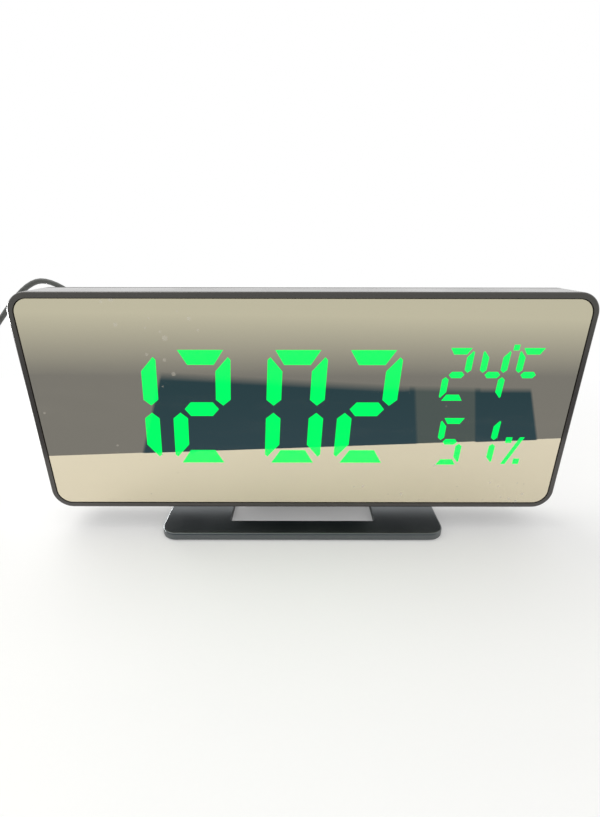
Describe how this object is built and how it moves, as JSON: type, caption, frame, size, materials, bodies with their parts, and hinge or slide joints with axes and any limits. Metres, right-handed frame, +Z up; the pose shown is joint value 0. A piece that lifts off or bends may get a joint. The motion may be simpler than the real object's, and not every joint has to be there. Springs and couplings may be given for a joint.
{
  "type": "digital led desk clock",
  "caption": "Slim mirror-faced LED desk clock with time, temperature and humidity digits, on a tilting stand plate, with its power lead.",
  "frame": {"origin": "on the table, under the centre of the stand plate and of the object without its lead", "axes": "+X to the viewer's right along the clock's width, +Y away from the viewer, +Z up"},
  "size_m": [0.2928, 0.1084, 0.088],
  "materials": {
    "case": "satin black moulding",
    "stand": "satin black moulding",
    "mirror": "half-mirror acrylic",
    "tape": "adhesive foam tape",
    "reflector": "matt dark moulding",
    "lit": "lit green light spreader",
    "unlit": "smoked light spreader",
    "board": "solder-masked board",
    "chip": "moulded package",
    "led": "clear-topped chip",
    "steel": "plated steel",
    "rubber": "matt rubber",
    "cord": "satin sheath"
  },
  "bodies": {
    "clock_housing": {"front_frame": "case", "mirror_panel": "mirror", "mirror_tape": "tape", "reflector_block": "reflector", "time_segments": "lit", "climate_segments": "lit", "unlit_segments": "unlit", "display_board": "board", "segment_leds": "led", "controller_chip": "chip", "driver_chip": "chip", "clock_crystal": "steel", "climate_sensor": "chip", "buzzer": "chip", "cell_holder": "chip", "coin_cell": "steel", "board_screws": "steel", "button_switches": "chip", "rear_cover": "case", "cover_screws": "steel", "hinge_pin": "steel", "friction_washers": "steel", "power_socket": "steel", "plug_shell": "steel", "power_plug": "cord", "power_lead": "cord", "power_lead_coil": "cord", "power_lead_tail": "cord", "lead_tie": "cord", "usb_plug": "cord", "usb_shell": "steel"},
    "button_alarm": {"button_alarm": "case"},
    "button_down": {"button_down": "case"},
    "button_up": {"button_up": "case"},
    "button_set": {"button_set": "case"},
    "battery_hatch": {"battery_door": "case", "door_screw": "steel"},
    "stand": {"stand_base": "stand", "rubber_feet": "rubber"}
  },
  "joints": [
    {"name": "stand_tilt", "type": "hinge", "parent": "clock_housing", "child": "stand", "pos_m": [0, 0, 0.023], "axis": [1, 0, 0], "range_deg": [-5, 20]},
    {"name": "button_alarm_press", "type": "slide", "parent": "clock_housing", "child": "button_alarm", "axis": [0, -1, 0], "range_m": [0, 0.0006], "stiffness_N_per_m": 900},
    {"name": "button_down_press", "type": "slide", "parent": "clock_housing", "child": "button_down", "axis": [0, -1, 0], "range_m": [0, 0.0006], "stiffness_N_per_m": 900},
    {"name": "button_up_press", "type": "slide", "parent": "clock_housing", "child": "button_up", "axis": [0, -1, 0], "range_m": [0, 0.0006], "stiffness_N_per_m": 900},
    {"name": "button_set_press", "type": "slide", "parent": "clock_housing", "child": "button_set", "axis": [0, -1, 0], "range_m": [0, 0.0006], "stiffness_N_per_m": 900},
    {"name": "hatch_lift", "type": "slide", "parent": "clock_housing", "child": "battery_hatch", "axis": [0, 1, 0], "range_m": [0, 0.008]}
  ]
}
